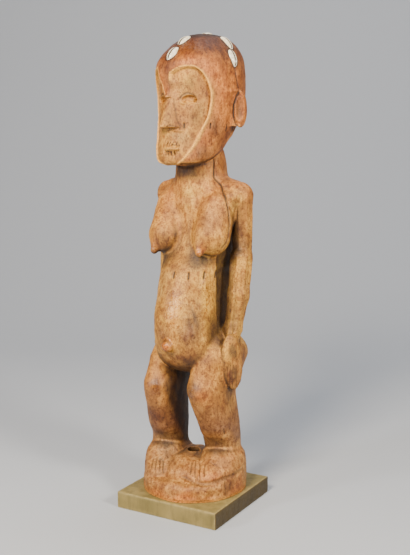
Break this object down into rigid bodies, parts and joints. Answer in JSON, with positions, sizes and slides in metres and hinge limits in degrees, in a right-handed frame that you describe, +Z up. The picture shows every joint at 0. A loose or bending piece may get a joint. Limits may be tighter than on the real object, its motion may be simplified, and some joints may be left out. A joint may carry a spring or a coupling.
{
  "type": "lega figure",
  "caption": "Standing carved wooden female figure with a sunk heart-shaped face and cowrie shells set in a cross on the crown, on a separate square plinth.",
  "frame": {"origin": "centre of the plinth's underside", "axes": "+Z up, -Y towards the front side of the plinth, +X towards the figure's left"},
  "size_m": [0.1533, 0.1544, 0.6211],
  "materials": {
    "carved_wood": "dry tan-brown wood with a rubbed dark patina",
    "painted_wood": "olive-brown painted wood, worn pale at the edges",
    "shell": "glossy off-white shell"
  },
  "bodies": {
    "root": {"figure": "carved_wood", "plinth": "painted_wood", "cowrie_front_low": "shell", "cowrie_front_high": "shell", "cowrie_left_low": "shell", "cowrie_left_high": "shell", "cowrie_right_low": "shell", "cowrie_right_high": "shell", "cowrie_back_low": "shell", "cowrie_back_high": "shell"}
  },
  "joints": []
}
